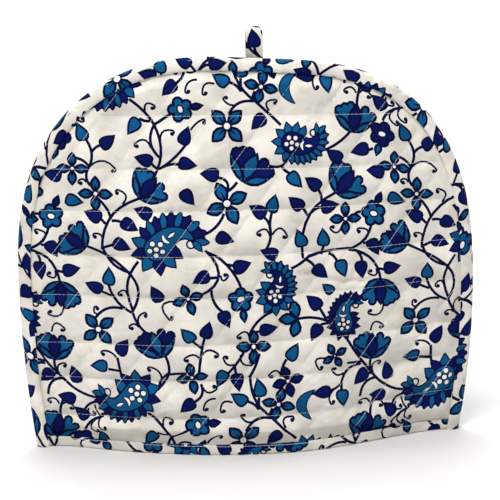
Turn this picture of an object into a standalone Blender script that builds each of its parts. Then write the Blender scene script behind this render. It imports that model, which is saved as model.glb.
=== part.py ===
"""Quilted cotton tea cosy, standing empty on its hem.

Two quilted panels are cut to the same arch. A folded binding joins them round the arch, a second
one covers each panel's lower edge, and a small hanging loop is sewn behind the top of the arch.
Metres, +Z up, the front faces -Y, and the origin lies in the middle of the mouth, on the table.
"""
import bpy
import bmesh
import numpy as np
from mathutils import Vector
from mathutils.geometry import delaunay_2d_cdt

# --- The arch, seen from the front -------------------------------------------------------------
WIDTH = 0.330            # at its widest
HEIGHT = 0.2818          # of the arch, without the loop and before the top's slack
FOOT_WIDTH = 0.3122      # between the two bottom corners
WAIST_HEIGHT = 0.114     # where the arch is widest
ROUNDNESS = 2.61         # exponent of the arch above that height: 2 is an ellipse, more is squarer
TOP_SLACK = 0.0026       # the middle of the top gives way by this much
TOP_SLACK_SPREAD = 0.050
OUTLINE_POINTS = 500     # along the fine polyline that stands for the arch
BELOW_TABLE = 0.004      # the polyline starts a little low, so that every moved-in edge can be cut level

# --- How the standing cosy opens ---------------------------------------------------------------
BULGE = 0.038            # of each panel from the middle plane, at the hem
BULGE_POWER = 1.92       # how softly a panel leaves its flat edge
BULGE_TAPER = 0.35       # share of the bulge that is lost from hem to top
SLACK = [                # slow waves in the panels: how uneven the cloth stands
    {"wave_x": 0.190, "wave_z": 0.330, "phase": 0.6, "depth": 0.0012},
    {"wave_x": -0.120, "wave_z": 0.160, "phase": 2.1, "depth": 0.0008},
    {"wave_x": 0.083, "wave_z": -0.240, "phase": 4.0, "depth": 0.0005},
]

# --- Layers ------------------------------------------------------------------------------------
GAP = 0.0003             # between pieces that touch
HALF_GAP = GAP / 2
THIN = 0.0025            # quilted layers pressed flat under a binding
FULL = 0.0045            # the same layers where the wadding is free
PUFF = 0.0023            # mean height of a quilted puff above that
PUFF_UNEVEN = 0.22       # share by which one puff is fuller or flatter than the next
PUFF_SHUFFLE = (12.9, 7.3)  # spreads the puffs' fullness so that no two neighbours repeat
CLOTH = 0.0012           # binding cloth, folded double
HEM_PRESS = GAP + CLOTH  # what the panel gives up inside, so that the hem's inner leg lies flush
PUFF_RUN = 0.007         # width over which the wadding swells next to a binding

# --- Quilting: level rows and rows that climb to the right --------------------------------------
LEVEL_ROWS = [           # height at the middle, and how much higher a row ends at the right
    {"height": -0.0020, "rise": 0.0000},
    {"height": 0.0282, "rise": 0.0030},
    {"height": 0.0563, "rise": 0.0030},
    {"height": 0.0813, "rise": 0.0020},
    {"height": 0.1150, "rise": 0.0000},
    {"height": 0.1441, "rise": 0.0000},
    {"height": 0.1752, "rise": -0.0010},
    {"height": 0.2031, "rise": -0.0030},
    {"height": 0.2394, "rise": -0.0040},
    {"height": 0.2840, "rise": -0.0040},
]
CLIMB = 1.25             # rise over run of the climbing rows
CLIMB_FIRST = -0.415     # where the first one meets z = 0
CLIMB_PITCH = 0.040      # between two of them, measured level
CLIMB_UNEVEN = 0.0012    # how far a climbing row is off its even place
CLIMB_COUNT = 16
PUFF_FULLNESS = 0.50     # exponent of a puff's profile: small is pillowy, 1 is a plain wave
PUFF_STEPS = 4           # mesh steps across one puff on the outer face
LINING_STEPS = 2         # and on the plain inner face

# --- Bindings and loop ---------------------------------------------------------------------------
BINDING_WIDTH = 0.0095
PANEL_INSET = 0.0020     # panel edge, inside the binding's fold
FLANGE = 0.0102          # flat edge of a panel, a little wider than the binding
HEM_HEIGHT = 0.0080
PANEL_FOOT = CLOTH + GAP # a panel's lower edge above the table
HEM_ROW = 0.0086         # top of the panel's pressed edge
LINING_ROW = 0.0115      # where the inner face is full again
ARCH_SECTIONS = 64
RIM_POINTS = 96
FLANGE_POINTS = 84
HEM_COLUMNS = 41
LOOP_X = 0.010           # the loop is sewn a little right of the middle
LOOP_WIDTH = 0.0122
LOOP_CLOTH = 0.0012
LOOP_FOOT = 0.0085       # its two ends lie on the back of the binding over this length
LOOP_PROFILE = [         # half the loop: height over the arch, half width of its opening
    {"height": -LOOP_FOOT, "half": (LOOP_CLOTH + GAP) / 2},
    {"height": -0.0010, "half": (LOOP_CLOTH + GAP) / 2},
    {"height": 0.0030, "half": 0.0016},
    {"height": 0.0075, "half": 0.0031},
    {"height": 0.0130, "half": 0.0036},
    {"height": 0.0175, "half": 0.0033},
    {"height": 0.0205, "half": 0.0020},
    {"height": 0.0216, "half": 0.0000},
]
LOOP_STEPS = 3           # mesh steps between two rows of the profile

CREAM = (0.86, 0.83, 0.78, 1.0)
SHADED_CREAM = (0.80, 0.77, 0.73, 1.0)
LOOP_CREAM = (0.74, 0.73, 0.74, 1.0)
COTTON_ROUGHNESS = 0.9


def smooth(t):
    """Zero below 0, one above 1, and an even S between."""
    t = np.clip(t, 0.0, 1.0)
    return t * t * (3.0 - 2.0 * t)


# --- The arch as a curve --------------------------------------------------------------------------
def half_width(z, inset=0.0):
    """Half the arch's width at height z, up to its waist: a parabola that draws in to the foot."""
    waist = WIDTH / 2 - inset
    foot = FOOT_WIDTH / 2 - inset
    drop = np.maximum((WAIST_HEIGHT - z) / WAIST_HEIGHT, 0.0)
    return waist - (waist - foot) * drop ** 2


def arch_outline():
    """The outer edge from the right foot over the top to the left foot, with its inward normals."""
    count = OUTLINE_POINTS // 4
    z_side = np.linspace(-BELOW_TABLE, WAIST_HEIGHT, count, endpoint=False)
    x_side = half_width(z_side)
    turn = np.linspace(0.0, np.pi / 2, count)
    x_top = WIDTH / 2 * np.cos(turn) ** (2 / ROUNDNESS)
    x_top[-1] = 0.0
    z_top = WAIST_HEIGHT + (HEIGHT - WAIST_HEIGHT) * np.sin(turn) ** (2 / ROUNDNESS)
    right = np.stack([np.append(x_side, x_top), np.append(z_side, z_top)], axis=1)
    left = right[-2::-1] * (-1, 1)
    outline = np.concatenate([right, left])
    top = smooth((outline[:, 1] - 0.8 * HEIGHT) / (0.2 * HEIGHT))
    outline[:, 1] -= TOP_SLACK * top * np.exp(-(outline[:, 0] / TOP_SLACK_SPREAD) ** 2)
    along = np.gradient(outline, axis=0)
    along /= np.linalg.norm(along, axis=1, keepdims=True)
    inward = np.stack([-along[:, 1], along[:, 0]], axis=1)
    return outline, inward


OUTLINE, INWARD = arch_outline()


def arch_curve(inset, floor, count):
    """Evenly spaced points along the arch, moved in by inset and cut off level at height floor."""
    curve = OUTLINE + INWARD * inset
    middle = len(curve) // 2
    right, left = curve[:middle], curve[middle:]
    start = (np.interp(floor, right[:, 1], right[:, 0]), floor)
    end = (np.interp(floor, left[::-1, 1], left[::-1, 0]), floor)
    curve = np.concatenate([[start], curve[curve[:, 1] > floor], [end]])
    length = np.append(0.0, np.cumsum(np.linalg.norm(np.diff(curve, axis=0), axis=1)))
    stops = np.linspace(0.0, length[-1], count)
    return np.stack([np.interp(stops, length, curve[:, 0]), np.interp(stops, length, curve[:, 1])], axis=1)


def edge_distance(x, z):
    """How far each point lies inside the arch's outer edge."""
    away = np.stack([x, z], axis=-1)[:, None, :] - OUTLINE[None]
    nearest = np.argmin((away ** 2).sum(axis=2), axis=1)
    rows = np.arange(len(nearest))
    return (away[rows, nearest] * INWARD[nearest]).sum(axis=1)


def side_x(z, inset):
    """Half the width between the moved-in edges near the foot, at height z."""
    curve = OUTLINE + INWARD * inset
    return np.interp(z, curve[:len(curve) // 4, 1], curve[:len(curve) // 4, 0])


# --- The cloth's form -------------------------------------------------------------------------------
def bulge(x, z):
    """Depth of a panel's inner face behind the middle plane: flat at the edge, fullest at the hem."""
    across = np.abs(x) / half_width(z, FLANGE)
    up = np.clip((z - WAIST_HEIGHT) / (HEIGHT - FLANGE - WAIST_HEIGHT), 0.0, None)
    inside = np.clip(1.0 - across ** ROUNDNESS - up ** ROUNDNESS, 0.0, None)
    depth = BULGE * inside ** BULGE_POWER * (1.0 - BULGE_TAPER * z / HEIGHT)
    for wave in SLACK:
        swing = np.sin(2 * np.pi * (x / wave["wave_x"] + z / wave["wave_z"]) + wave["phase"])
        depth = depth + wave["depth"] * swing * inside ** BULGE_POWER
    return depth


def climbing_start(row):
    """Where a climbing row meets z = 0. Rows between two stitched ones have a fraction."""
    return CLIMB_FIRST + CLIMB_PITCH * row + CLIMB_UNEVEN * np.sin(2.4 * row)


def level_row(x, z):
    """Which level row a point is at: whole numbers lie on the stitching."""
    heights = [row["height"] + row["rise"] * x * 2 / WIDTH for row in LEVEL_ROWS]
    return sum(np.clip((z - low) / (high - low), 0.0, 1.0) for low, high in zip(heights, heights[1:]))


def climbing_row(x, z):
    """The same for the rows that climb to the right."""
    rows = np.linspace(0, CLIMB_COUNT, 20 * CLIMB_COUNT + 1)
    return np.interp(x - z / CLIMB, climbing_start(rows), rows)


def puff(x, z):
    """Height of the quilting: nothing on the stitching, highest in the middle of each puff."""
    level, climbing = level_row(x, z), climbing_row(x, z)
    profile = np.abs(np.sin(np.pi * level) * np.sin(np.pi * climbing)) ** PUFF_FULLNESS
    cell = PUFF_SHUFFLE[0] * np.floor(level) + PUFF_SHUFFLE[1] * np.floor(climbing)
    return PUFF * profile * (1.0 + PUFF_UNEVEN * np.sin(cell))


def outer_depth(x, z):
    """Depth of a panel's outer face: pressed flat under the bindings, swollen and quilted inside."""
    clear = np.minimum(edge_distance(x, z) - FLANGE, z - LINING_ROW)
    free = smooth(clear / PUFF_RUN)
    return HALF_GAP + bulge(x, z) + THIN + (FULL - THIN + puff(x, z)) * free


def inner_depth(x, z):
    """Depth of a panel's inner face: it steps back behind the hem's inner leg."""
    pressed = np.clip((LINING_ROW - z) / (LINING_ROW - HEM_ROW), 0.0, 1.0)
    return HALF_GAP + bulge(x, z) + HEM_PRESS * pressed


# --- Mesh helpers -----------------------------------------------------------------------------------
def finish_object(name, bm, colour):
    """Turns a bmesh into a named object with its own cotton material."""
    bmesh.ops.recalc_face_normals(bm, faces=bm.faces)
    mesh = bpy.data.meshes.new(name)
    bm.to_mesh(mesh)
    bm.free()
    mesh.shade_smooth()
    mesh.set_sharp_from_angle(angle=np.radians(50))
    material = bpy.data.materials.new(name)
    material.use_nodes = True
    surface = material.node_tree.nodes["Principled BSDF"]
    surface.inputs["Base Color"].default_value = colour
    surface.inputs["Roughness"].default_value = COTTON_ROUGHNESS
    surface.inputs["Metallic"].default_value = 0.0
    mesh.materials.append(material)
    thing = bpy.data.objects.new(name, mesh)
    bpy.context.scene.collection.objects.link(thing)
    return thing


def loft(name, sections, colour):
    """A closed solid through rings of points. The second half of a ring runs back beside the first."""
    bm = bmesh.new()
    rings = [[bm.verts.new(Vector(point)) for point in section] for section in sections]
    size = len(rings[0])
    for ring, following in zip(rings, rings[1:]):
        for i in range(size):
            j = (i + 1) % size
            bm.faces.new((ring[i], ring[j], following[j], following[i]))
    for ring in (rings[0], rings[-1]):
        for i in range(size // 2 - 1):
            bm.faces.new((ring[i], ring[i + 1], ring[size - 2 - i], ring[size - 1 - i]))
    return finish_object(name, bm, colour)


# --- Panels -----------------------------------------------------------------------------------------
def foot_row(z, inset):
    """A level row of points from the left edge to the right one."""
    x = np.linspace(-1.0, 1.0, HEM_COLUMNS) * side_x(z, inset)
    return np.stack([x, np.full(HEM_COLUMNS, z)], axis=1)


def quilt_lattice(steps):
    """Points on and between the stitch rows, and the edges that lie along the stitching."""
    points, index, edges = [], {}, []
    rows = np.arange(len(LEVEL_ROWS))
    for i in range((len(LEVEL_ROWS) - 1) * steps + 1):
        height = np.interp(i / steps, rows, [row["height"] for row in LEVEL_ROWS])
        slope = np.interp(i / steps, rows, [row["rise"] for row in LEVEL_ROWS]) * 2 / WIDTH
        for j in range(CLIMB_COUNT * steps + 1):
            start = climbing_start(j / steps)
            z = (height + slope * start) / (1 - slope / CLIMB)
            index[i, j] = len(points)
            points.append((start + z / CLIMB, z))
    points = np.array(points)
    depth_in = np.minimum(edge_distance(points[:, 0], points[:, 1]) - FLANGE, points[:, 1] - LINING_ROW)
    kept = depth_in > 0.5 * PUFF_RUN
    for (i, j), a in index.items():
        for along, on_row in (((i, j + 1), i % steps == 0), ((i + 1, j), j % steps == 0)):
            b = index.get(along)
            if on_row and b is not None and kept[a] and kept[b]:
                edges.append((a, b))
    renumber = np.cumsum(kept) - 1
    return points[kept], [(int(renumber[a]), int(renumber[b])) for a, b in edges]


def triangulate(steps):
    """The flat panel as triangles: its rim first, then the flat flange, the hem row and the quilting."""
    rim = np.concatenate([foot_row(PANEL_FOOT, PANEL_INSET),
                          arch_curve(PANEL_INSET, HEM_ROW, RIM_POINTS)])
    flange_foot = foot_row(LINING_ROW, FLANGE)
    flange_foot[:, 0] *= arch_curve(FLANGE, LINING_ROW, FLANGE_POINTS)[0, 0] / flange_foot[-1, 0]
    flange = np.concatenate([flange_foot[:-1], arch_curve(FLANGE, LINING_ROW, FLANGE_POINTS)[:-1]])
    hem = foot_row(HEM_ROW, PANEL_INSET)[1:-1]
    lattice, stitched = quilt_lattice(steps)
    points = np.concatenate([rim, flange, hem, lattice])
    rim_ids = list(range(len(rim)))
    flange_ids = list(range(len(rim), len(rim) + len(flange)))
    hem_ids = list(range(len(rim) + len(flange), len(rim) + len(flange) + len(hem)))
    base = len(rim) + len(flange) + len(hem)
    edges = list(zip(flange_ids, flange_ids[1:] + flange_ids[:1]))
    chain = [len(rim) - 1] + hem_ids + [HEM_COLUMNS]
    edges += list(zip(chain, chain[1:]))
    edges += [(a + base, b + base) for a, b in stitched]
    out = delaunay_2d_cdt([Vector(p) for p in points.tolist()], edges, [rim_ids], 1, 1e-7)
    flat = np.array([tuple(v) for v in out[0]])
    return flat, out[2], len(rim)


def panel(name, colour, turned):
    """One quilted panel. The back one is the front one turned half a turn about the upright axis."""
    bm = bmesh.new()
    rims = []
    for depth, steps in ((outer_depth, PUFF_STEPS), (inner_depth, LINING_STEPS)):
        flat, triangles, rim_size = triangulate(steps)
        x, z = flat[:, 0], flat[:, 1]
        verts = [bm.verts.new(p) for p in zip(x, -depth(x, z), z)]
        for triangle in triangles:
            bm.faces.new([verts[i] for i in triangle])
        rims.append(verts[:rim_size])
    outer, inner = rims
    for i in range(len(outer)):
        j = (i + 1) % len(outer)
        bm.faces.new((outer[i], outer[j], inner[j], inner[i]))
    if turned:
        for vert in bm.verts:
            vert.co.x, vert.co.y = -vert.co.x, -vert.co.y
    return finish_object(name, bm, colour)


# --- Bindings and loop ------------------------------------------------------------------------------
def arch_binding():
    """The strip folded over both panels: a channel carried along the arch, thicker over the hems."""
    inner = HALF_GAP + THIN + GAP
    outer = inner + CLOTH
    web = PANEL_INSET - GAP
    front_outside = [(BINDING_WIDTH, -outer + 0.0006), (BINDING_WIDTH - 0.0007, -outer),
                     (0.0027, -outer), (0.0008, -outer + 0.0010)]
    front_inside = [(BINDING_WIDTH, -inner), (BINDING_WIDTH - 0.0007, -inner),
                    (0.0027, -inner), (web, -inner)]
    outside = front_outside + [(0.0, 0.0)] + [(r, -y) for r, y in reversed(front_outside)]
    inside = front_inside + [(web, 0.0)] + [(r, -y) for r, y in reversed(front_inside)]
    profile = outside + inside[::-1]
    bulk = GAP + CLOTH
    paths = []
    for inset, y in profile:
        path = arch_curve(inset, 0.0, ARCH_SECTIONS)
        over_hem = 1.0 - smooth((path[:, 1] - HEM_HEIGHT - 0.0015) / PUFF_RUN)
        paths.append(np.stack([path[:, 0], y + np.sign(y) * bulk * over_hem, path[:, 1]], axis=1))
    return loft("arch_binding", np.stack(paths, axis=1), SHADED_CREAM)


def hem_binding(name, turned):
    """The strip folded over a panel's lower edge: a channel that stands flat on the table."""
    outer_leg, inner_leg = THIN + GAP, HEM_PRESS - GAP
    outside = [(outer_leg + 0.0007, HEM_HEIGHT), (outer_leg + CLOTH, HEM_HEIGHT - 0.0006),
               (outer_leg + CLOTH, 0.0010), (outer_leg + 0.0006, 0.0),
               (inner_leg - 0.0006, 0.0), (inner_leg - CLOTH, 0.0010),
               (inner_leg - CLOTH, HEM_HEIGHT - 0.0006), (inner_leg - 0.0007, HEM_HEIGHT)]
    inside = [(outer_leg, HEM_HEIGHT), (outer_leg, HEM_HEIGHT - 0.0006),
              (outer_leg, 0.0022), (outer_leg, CLOTH),
              (inner_leg, CLOTH), (inner_leg, 0.0022),
              (inner_leg, HEM_HEIGHT - 0.0006), (inner_leg, HEM_HEIGHT)]
    turn = -1.0 if turned else 1.0
    paths = []
    for layer, z in outside + inside[::-1]:
        row = foot_row(z, PANEL_INSET)
        depth = HALF_GAP + bulge(row[:, 0], row[:, 1]) + layer
        paths.append(np.stack([turn * row[:, 0], -turn * depth, row[:, 1]], axis=1))
    return loft(name, np.stack(paths, axis=1), SHADED_CREAM)


def hanging_loop():
    """A strip folded into a loop, its hole across the cosy, both ends flat behind the binding."""
    rows = np.arange(len(LOOP_PROFILE))
    fine = np.linspace(0, rows[-1], rows[-1] * LOOP_STEPS + 1)
    height = np.interp(fine, rows, [row["height"] for row in LOOP_PROFILE])
    half = np.interp(fine, rows, [row["half"] for row in LOOP_PROFILE])
    bend = slice(LOOP_STEPS + 1, -1)
    for _ in range(2):
        for line in (height, half):
            line[bend] = (line[LOOP_STEPS:-2] + line[bend] + line[LOOP_STEPS + 2:]) / 3
    back_of_binding = HALF_GAP + THIN + GAP + CLOTH
    middle_y = back_of_binding + GAP + LOOP_CLOTH + GAP / 2
    arch_top = np.interp(LOOP_X, OUTLINE[::-1, 0], OUTLINE[::-1, 1])
    path = np.concatenate([np.stack([-half, height], axis=1), np.stack([half, height], axis=1)[-2::-1]])
    along = np.gradient(path, axis=0)
    along /= np.linalg.norm(along, axis=1, keepdims=True)
    out = np.stack([-along[:, 1], along[:, 0]], axis=1)
    sections = []
    for (y, z), (out_y, out_z) in zip(path, out):
        ring = []
        for across, layer in ((-0.5, 0.22), (-0.44, 0.5), (0.44, 0.5), (0.5, 0.22),
                              (0.5, -0.22), (0.44, -0.5), (-0.44, -0.5), (-0.5, -0.22)):
            ring.append((LOOP_X + across * LOOP_WIDTH,
                         middle_y + y + out_y * layer * LOOP_CLOTH,
                         arch_top + z + out_z * layer * LOOP_CLOTH))
        sections.append(ring)
    return loft("hanging_loop", sections, LOOP_CREAM)


for old in list(bpy.data.objects):
    bpy.data.objects.remove(old, do_unlink=True)

panel("front_panel", CREAM, turned=False)
panel("back_panel", CREAM, turned=True)
arch_binding()
hem_binding("front_hem_binding", turned=False)
hem_binding("back_hem_binding", turned=True)
hanging_loop()
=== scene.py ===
"""The looks of a quilted cotton tea cosy that stands empty on its hem.

Every piece is worked out as a surface over its flat pattern: the print, the stitch rows and the
cloth's edge are drawn on the pattern, and formulas carry the pattern's points to their place.
Metres, +Z up, the front faces -Y.
"""
from collections import namedtuple

import bpy
import numpy as np
from mathutils import Matrix, Vector
from mathutils.geometry import delaunay_2d_cdt


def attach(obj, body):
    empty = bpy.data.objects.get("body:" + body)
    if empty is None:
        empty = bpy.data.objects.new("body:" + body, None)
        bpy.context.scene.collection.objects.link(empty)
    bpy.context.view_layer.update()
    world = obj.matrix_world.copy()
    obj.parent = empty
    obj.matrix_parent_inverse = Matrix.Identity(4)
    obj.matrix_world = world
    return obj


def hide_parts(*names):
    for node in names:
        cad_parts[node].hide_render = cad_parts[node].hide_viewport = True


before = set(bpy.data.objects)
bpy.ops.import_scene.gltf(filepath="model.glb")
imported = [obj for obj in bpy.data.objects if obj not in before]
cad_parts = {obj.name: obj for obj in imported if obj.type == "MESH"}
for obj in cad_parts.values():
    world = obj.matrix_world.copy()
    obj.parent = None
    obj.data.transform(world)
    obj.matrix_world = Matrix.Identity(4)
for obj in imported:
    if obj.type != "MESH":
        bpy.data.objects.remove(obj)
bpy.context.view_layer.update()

# --- Camera --------------------------------------------------------------------------------------
# A long lens a little above the table and a little left of the middle, held not quite level.
TARGET = Vector((0.0, 0.0, 0.135))
CAMERA_DISTANCE = 1.2
CAMERA_AZIMUTH = np.radians(-2.5)
CAMERA_ELEVATION = np.radians(12.0)
CAMERA_ROLL = np.radians(-1.7)
CAMERA_LENS = 119.4      # on a sensor 36 mm wide
CAMERA_SHIFT = (0.0069, 0.0155)


def added(name, data):
    """A new object in the scene for a camera, light or mesh."""
    thing = bpy.data.objects.new(name, data)
    bpy.context.scene.collection.objects.link(thing)
    return thing


def make_camera():
    """A camera on a sphere round the target, turned to it and rolled about its own axis."""
    level = np.cos(CAMERA_ELEVATION)
    away = Vector((np.sin(CAMERA_AZIMUTH) * level, -np.cos(CAMERA_AZIMUTH) * level,
                   np.sin(CAMERA_ELEVATION)))
    camera = bpy.data.cameras.new("camera")
    camera.lens = CAMERA_LENS
    camera.shift_x, camera.shift_y = CAMERA_SHIFT
    look = away.to_track_quat("Z", "Y").to_matrix().to_4x4()
    place = Matrix.Translation(TARGET + away * CAMERA_DISTANCE)
    bpy.context.scene.camera = added("camera", camera)
    bpy.context.scene.camera.matrix_world = place @ look @ Matrix.Rotation(CAMERA_ROLL, 4, "Z")


make_camera()

# --- Floor and light -----------------------------------------------------------------------------
# A round pale studio floor that sweeps up to a low wall all round, a soft light high in front and a
# little to the left, another straight over the floor behind, and an even pale sky.
FLOOR_RADIUS, SWEEP_RADIUS, WALL_HEIGHT = 1.5, 0.9, 1.5
FLOOR_SIDES = 96
PAPER = (0.62, 0.62, 0.62, 1.0)
SKY, SKY_STRENGTH = (0.95, 0.97, 1.0, 1.0), 0.17


def make_floor():
    """A level disc, a quarter circle and a wall, carried round the upright axis."""
    turn = np.linspace(0.0, np.pi / 2, 25)
    curve = FLOOR_RADIUS + SWEEP_RADIUS * np.sin(turn)
    out = np.concatenate([[0.001], curve, curve[-1:]])
    up = np.concatenate([[0.0], SWEEP_RADIUS * (1 - np.cos(turn)), [WALL_HEIGHT]])
    way = np.linspace(0.0, 2 * np.pi, FLOOR_SIDES, endpoint=False)
    verts = np.stack([np.outer(out, np.cos(way)), np.outer(out, np.sin(way)),
                      np.outer(up, np.ones(FLOOR_SIDES))], axis=2)
    ids = np.arange(verts.size // 3).reshape(len(out), FLOOR_SIDES)
    on = np.roll(ids, -1, axis=1)
    faces = np.stack([ids[:-1], ids[1:], on[1:], on[:-1]], axis=2).reshape(-1, 4)
    mesh = bpy.data.meshes.new("studio_paper")
    mesh.from_pydata(verts.reshape(-1, 3).tolist(), [], [ids[0][::-1].tolist(), *faces.tolist()])
    mesh.shade_smooth()
    paper = bpy.data.materials.new("studio_paper")
    paper.use_nodes = True
    surface = paper.node_tree.nodes["Principled BSDF"]
    surface.inputs["Base Color"].default_value = PAPER
    surface.inputs["Roughness"].default_value = 0.95
    surface.inputs["Specular IOR Level"].default_value = 0.1
    mesh.materials.append(paper)
    floor = added("studio_paper", mesh)


def make_light(name, place, aim, size, watts, colour):
    """A square area light turned to a point."""
    light = bpy.data.lights.new(name, "AREA")
    light.shape, light.size, light.energy, light.color = "SQUARE", size, watts, colour
    thing = added(name, light)
    thing.location = place
    thing.rotation_euler = (Vector(place) - Vector(aim)).to_track_quat("Z", "Y").to_euler()


make_floor()
make_light("key_light", place=(-0.35, -0.85, 2.0), aim=TARGET, size=0.8, watts=43.0,
           colour=(1.0, 0.980, 0.950))
make_light("paper_light", place=(0.0, 1.0, 2.3), aim=(0.0, 1.0, 0.0), size=1.8, watts=72.0,
           colour=(1.0, 1.0, 1.0))
world = bpy.data.worlds.new("pale_sky")
bpy.context.scene.world = world
world.use_nodes = True
world.node_tree.nodes["Background"].inputs["Color"].default_value = SKY
world.node_tree.nodes["Background"].inputs["Strength"].default_value = SKY_STRENGTH
bpy.context.scene.view_settings.view_transform = "Standard"


# --- The printed cotton -----------------------------------------------------------------------
# Quilting cotton screen-printed with a climbing vine: serrated paisleys, cup flowers, four-petal and
# lobed flowers, leaves and curls in navy and teal with dark ink lines, on a cream ground. The motifs
# are worked out by formula; where they stand is charted in steps of about 0.7 mm.
STEP = 0.00071
REPEAT_ACROSS = np.array((322.0, 4.0))
REPEAT_UP = np.array((-17.0, 313.0))
GROUND, INK, NAVY, TEAL, WHITE = range(5)
STEM = 1.45              # half the width of a vine's line
LINE = 2.7               # width of the ink line round a motif
SPINE_STEPS, CAP_STEPS, BACK_STEPS = 24, 11, 9     # points along a paisley, round it, and back inside

Paisley = namedtuple("Paisley", "x z heading length bend head petals body")
PAISLEYS = [Paisley(*row) for row in (
    (70, 182, 52, 50, -135, 11.5, 15.0, TEAL), (205, 285, -22, 36, 145, 9.6, 11.0, NAVY),
    (257, 104, 102, 34, -145, 8.4, 9.0, TEAL), (50, 34, 226, 47, -135, 11.5, 13.5, TEAL),
    (187, 136, 60, 34, 145, 9.2, 11.0, NAVY))]
CupFlower = namedtuple("CupFlower", "x z heading size full")
CUP_FLOWERS = [CupFlower(*row) for row in (
    (63, 242, 50, 32, False), (164, 262, 62, 37, True), (269, 308, 80, 33, False),
    (259, 246, 52, 34, False), (310, 191, 147, 31, False), (295, 134, 270, 32, False),
    (69, 87, 112, 33, True), (287, 80, 90, 31, False))]
FourPetals = namedtuple("FourPetals", "x z turn reach dye")
FOUR_PETALS = [FourPetals(*row) for row in (
    (141, 301, 45, 18, TEAL), (10, 234, 0, 15, TEAL), (309, 262, 0, 14, TEAL), (140, 227, 27, 19, TEAL),
    (258, 210, 0, 14, TEAL), (101, 133, 20, 14, TEAL), (166, 85, 0, 15, TEAL), (105, 53, 12, 14, TEAL),
    (248, 73, 30, 12, TEAL), (11, 97, 40, 17, TEAL), (192, 26, -13, 15, TEAL), (201, 49, 15, 14, NAVY))]
Lobed = namedtuple("Lobed", "x z leaf dye leaf_dye")
LOBED_FLOWERS = [Lobed(*row) for row in (
    (112, 4, 10, TEAL, NAVY), (296, 293, 255, NAVY, TEAL), (287, 214, 70, TEAL, NAVY),
    (153, 133, 280, TEAL, TEAL))]
Leaf = namedtuple("Leaf", "x z heading dye")
LEAVES = [Leaf(*row) for row in (
    (48, 301, 225, TEAL), (100, 291, 60, NAVY), (59, 269, 155, NAVY), (101, 264, -20, NAVY),
    (-3, 294, 105, TEAL), (23, 285, 30, NAVY), (124, 255, 165, NAVY), (101, 233, -60, NAVY),
    (58, 218, 150, NAVY), (8, 213, 150, NAVY), (43, 204, -35, NAVY), (35, 184, -30, NAVY),
    (137, 193, -30, NAVY), (101, 25, 215, NAVY), (153, 33, 140, TEAL), (173, 43, 95, TEAL),
    (172, 305, 215, NAVY), (248, 272, 135, NAVY), (274, 277, 185, NAVY), (207, 249, -55, TEAL),
    (226, 246, 135, NAVY), (290, 256, 165, NAVY), (209, 227, 130, NAVY), (242, 222, 0, NAVY),
    (171, 220, 140, NAVY), (186, 226, 65, TEAL), (213, 192, 100, TEAL), (236, 192, 85, TEAL),
    (182, 179, 150, NAVY), (287, 181, -70, NAVY), (310, 230, -20, TEAL), (232, 158, -50, NAVY),
    (254, 161, -80, TEAL), (274, 159, -90, NAVY), (306, 160, 5, NAVY), (241, 141, 130, TEAL),
    (227, 128, 130, NAVY), (228, 98, 235, NAVY), (8, 141, 150, NAVY), (23, 152, 80, TEAL),
    (70, 137, 110, NAVY), (114, 155, 200, NAVY), (154, 166, 10, NAVY), (137, 114, -75, NAVY),
    (101, 97, 125, TEAL), (120, 102, 65, NAVY), (134, 54, 235, TEAL), (150, 50, -90, NAVY),
    (36, 80, 50, NAVY), (11, 60, 175, TEAL), (276, 49, 215, NAVY), (306, 51, 95, NAVY),
    (296, 27, 160, NAVY), (236, 37, 175, NAVY), (257, 29, -90, TEAL), (311, 11, 130, NAVY),
    (180, 102, 0, NAVY), (206, 78, 50, TEAL))]
Vine = namedtuple("Vine", "x0 z0 x1 z1 bow")
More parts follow.
